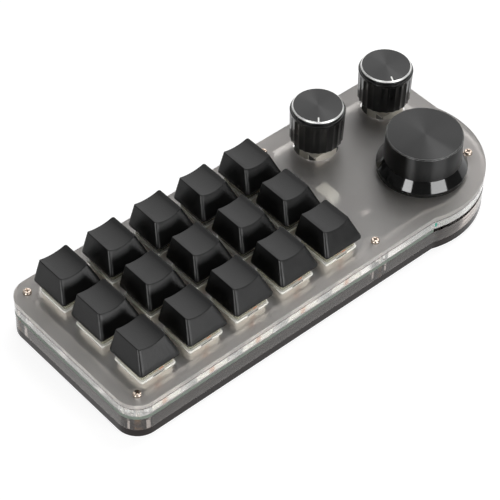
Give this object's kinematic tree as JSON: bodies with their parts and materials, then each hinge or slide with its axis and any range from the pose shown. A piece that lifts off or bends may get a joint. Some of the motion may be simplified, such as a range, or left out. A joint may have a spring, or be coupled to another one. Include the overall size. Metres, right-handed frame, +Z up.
{
  "type": "macro keypad",
  "caption": "Desk macro keypad: stacked acrylic sheets with sprung blank keys, small fluted push knobs and a large flared push knob.",
  "frame": {"origin": "middle of the footprint on the desk, under the rubber feet", "axes": "+X along the keypad towards the knobs, +Y away from the user, +Z up"},
  "size_m": [0.1942, 0.077, 0.0399],
  "materials": {
    "frosted_acrylic": "frosted smoke-grey acrylic sheet with polished cut edges",
    "clear_acrylic": "clear acrylic, laser cut, faintly striated edge",
    "smoked_clear_acrylic": "clear acrylic, laser cut, over a dark plate",
    "circuit_board": "green solder mask over glass epoxy",
    "black_acrylic": "black acrylic sheet, glossy",
    "rubber_foot": "moulded rubber",
    "nickel_screw": "nickel-plated steel",
    "brass_standoff": "turned brass",
    "switch_base_plastic": "milky clear nylon",
    "switch_clear_plastic": "clear polycarbonate, moulded",
    "copper_contact": "stamped copper alloy",
    "spring_steel": "drawn steel wire",
    "socket_steel": "stamped and plated steel",
    "black_insulator": "moulded",
    "board_part_plastic": "moulded and soldered parts",
    "encoder_plastic": "moulded",
    "encoder_steel": "stamped and plated steel",
    "pusher_plastic": "moulded",
    "shaft_metal": "turned",
    "knob_gloss_plastic": "glossy black, fluted",
    "knob_disc_aluminium": "black anodised, spun face, bright cut chamfer",
    "skirt_gloss_plastic": "polished black",
    "cap_anodised_aluminium": "black anodised, spun face, satin side",
    "keycap_abs": "moulded ABS, fine satin texture",
    "pointer_paint": "white paint in a cut line",
    "bright_cut_aluminium": "bright diamond-cut chamfer",
    "stem_pom": "moulded acetal"
  },
  "bodies": {
    "root": {"top_plate": "frosted_acrylic", "upper_spacer": "clear_acrylic", "circuit_board": "circuit_board", "lower_spacer": "smoked_clear_acrylic", "bottom_plate": "black_acrylic", "rubber_feet": "rubber_foot", "top_screws": "nickel_screw", "bottom_screws": "nickel_screw", "standoffs": "brass_standoff", "switch_bases": "switch_base_plastic", "switch_covers": "switch_clear_plastic", "switch_contacts": "copper_contact", "switch_springs": "spring_steel", "port_socket": "socket_steel", "port_tongue": "black_insulator", "board_parts": "board_part_plastic", "encoder_bases": "encoder_plastic", "encoder_cages": "encoder_steel"},
    "key_front_1": {"keycap_front_1": "keycap_abs", "stem_front_1": "stem_pom"},
    "key_front_2": {"keycap_front_2": "keycap_abs", "stem_front_2": "stem_pom"},
    "key_front_3": {"keycap_front_3": "keycap_abs", "stem_front_3": "stem_pom"},
    "key_front_4": {"keycap_front_4": "keycap_abs", "stem_front_4": "stem_pom"},
    "key_front_5": {"keycap_front_5": "keycap_abs", "stem_front_5": "stem_pom"},
    "key_middle_1": {"keycap_middle_1": "keycap_abs", "stem_middle_1": "stem_pom"},
    "key_middle_2": {"keycap_middle_2": "keycap_abs", "stem_middle_2": "stem_pom"},
    "key_middle_3": {"keycap_middle_3": "keycap_abs", "stem_middle_3": "stem_pom"},
    "key_middle_4": {"keycap_middle_4": "keycap_abs", "stem_middle_4": "stem_pom"},
    "key_middle_5": {"keycap_middle_5": "keycap_abs", "stem_middle_5": "stem_pom"},
    "key_back_1": {"keycap_back_1": "keycap_abs", "stem_back_1": "stem_pom"},
    "key_back_2": {"keycap_back_2": "keycap_abs", "stem_back_2": "stem_pom"},
    "key_back_3": {"keycap_back_3": "keycap_abs", "stem_back_3": "stem_pom"},
    "key_back_4": {"keycap_back_4": "keycap_abs", "stem_back_4": "stem_pom"},
    "key_back_5": {"keycap_back_5": "keycap_abs", "stem_back_5": "stem_pom"},
    "left_push": {"left_pusher": "pusher_plastic"},
    "left_turn": {"left_shaft": "shaft_metal", "left_knob": "knob_gloss_plastic", "left_knob_disc": "knob_disc_aluminium"},
    "right_push": {"right_pusher": "pusher_plastic"},
    "right_turn": {"right_shaft": "shaft_metal", "right_knob": "knob_gloss_plastic", "right_knob_disc": "knob_disc_aluminium"},
    "big_push": {"big_pusher": "pusher_plastic"},
    "big_turn": {"big_shaft": "shaft_metal", "big_knob_skirt": "skirt_gloss_plastic", "big_knob_cap": "cap_anodised_aluminium"}
  },
  "joints": [
    {"name": "press_front_1", "type": "slide", "parent": "root", "child": "key_front_1", "axis": [0, 0, -1], "range_m": [0, 0.004], "stiffness_N_per_m": 100, "springref_m": -0.003},
    {"name": "press_front_2", "type": "slide", "parent": "root", "child": "key_front_2", "axis": [0, 0, -1], "range_m": [0, 0.004], "stiffness_N_per_m": 100, "springref_m": -0.003},
    {"name": "press_front_3", "type": "slide", "parent": "root", "child": "key_front_3", "axis": [0, 0, -1], "range_m": [0, 0.004], "stiffness_N_per_m": 100, "springref_m": -0.003},
    {"name": "press_front_4", "type": "slide", "parent": "root", "child": "key_front_4", "axis": [0, 0, -1], "range_m": [0, 0.004], "stiffness_N_per_m": 100, "springref_m": -0.003},
    {"name": "press_front_5", "type": "slide", "parent": "root", "child": "key_front_5", "axis": [0, 0, -1], "range_m": [0, 0.004], "stiffness_N_per_m": 100, "springref_m": -0.003},
    {"name": "press_middle_1", "type": "slide", "parent": "root", "child": "key_middle_1", "axis": [0, 0, -1], "range_m": [0, 0.004], "stiffness_N_per_m": 100, "springref_m": -0.003},
    {"name": "press_middle_2", "type": "slide", "parent": "root", "child": "key_middle_2", "axis": [0, 0, -1], "range_m": [0, 0.004], "stiffness_N_per_m": 100, "springref_m": -0.003},
    {"name": "press_middle_3", "type": "slide", "parent": "root", "child": "key_middle_3", "axis": [0, 0, -1], "range_m": [0, 0.004], "stiffness_N_per_m": 100, "springref_m": -0.003},
    {"name": "press_middle_4", "type": "slide", "parent": "root", "child": "key_middle_4", "axis": [0, 0, -1], "range_m": [0, 0.004], "stiffness_N_per_m": 100, "springref_m": -0.003},
    {"name": "press_middle_5", "type": "slide", "parent": "root", "child": "key_middle_5", "axis": [0, 0, -1], "range_m": [0, 0.004], "stiffness_N_per_m": 100, "springref_m": -0.003},
    {"name": "press_back_1", "type": "slide", "parent": "root", "child": "key_back_1", "axis": [0, 0, -1], "range_m": [0, 0.004], "stiffness_N_per_m": 100, "springref_m": -0.003},
    {"name": "press_back_2", "type": "slide", "parent": "root", "child": "key_back_2", "axis": [0, 0, -1], "range_m": [0, 0.004], "stiffness_N_per_m": 100, "springref_m": -0.003},
    {"name": "press_back_3", "type": "slide", "parent": "root", "child": "key_back_3", "axis": [0, 0, -1], "range_m": [0, 0.004], "stiffness_N_per_m": 100, "springref_m": -0.003},
    {"name": "press_back_4", "type": "slide", "parent": "root", "child": "key_back_4", "axis": [0, 0, -1], "range_m": [0, 0.004], "stiffness_N_per_m": 100, "springref_m": -0.003},
    {"name": "press_back_5", "type": "slide", "parent": "root", "child": "key_back_5", "axis": [0, 0, -1], "range_m": [0, 0.004], "stiffness_N_per_m": 100, "springref_m": -0.003},
    {"name": "push_left_knob", "type": "slide", "parent": "root", "child": "left_push", "axis": [0, 0, -1], "range_m": [0, 0.0005], "stiffness_N_per_m": 2000, "springref_m": -0.0015},
    {"name": "turn_left_knob", "type": "hinge", "parent": "left_push", "child": "left_turn", "pos_m": [0.0433, 0.0228, 0.0389], "axis": [0, 0, 1], "continuous": true},
    {"name": "push_right_knob", "type": "slide", "parent": "root", "child": "right_push", "axis": [0, 0, -1], "range_m": [0, 0.0005], "stiffness_N_per_m": 2000, "springref_m": -0.0015},
    {"name": "turn_right_knob", "type": "hinge", "parent": "right_push", "child": "right_turn", "pos_m": [0.08, 0.0228, 0.0389], "axis": [0, 0, 1], "continuous": true},
    {"name": "push_big_knob", "type": "slide", "parent": "root", "child": "big_push", "axis": [0, 0, -1], "range_m": [0, 0.0005], "stiffness_N_per_m": 2000, "springref_m": -0.0015},
    {"name": "turn_big_knob", "type": "hinge", "parent": "big_push", "child": "big_turn", "pos_m": [0.0658, -0.0135, 0.0389], "axis": [0, 0, 1], "continuous": true}
  ]
}
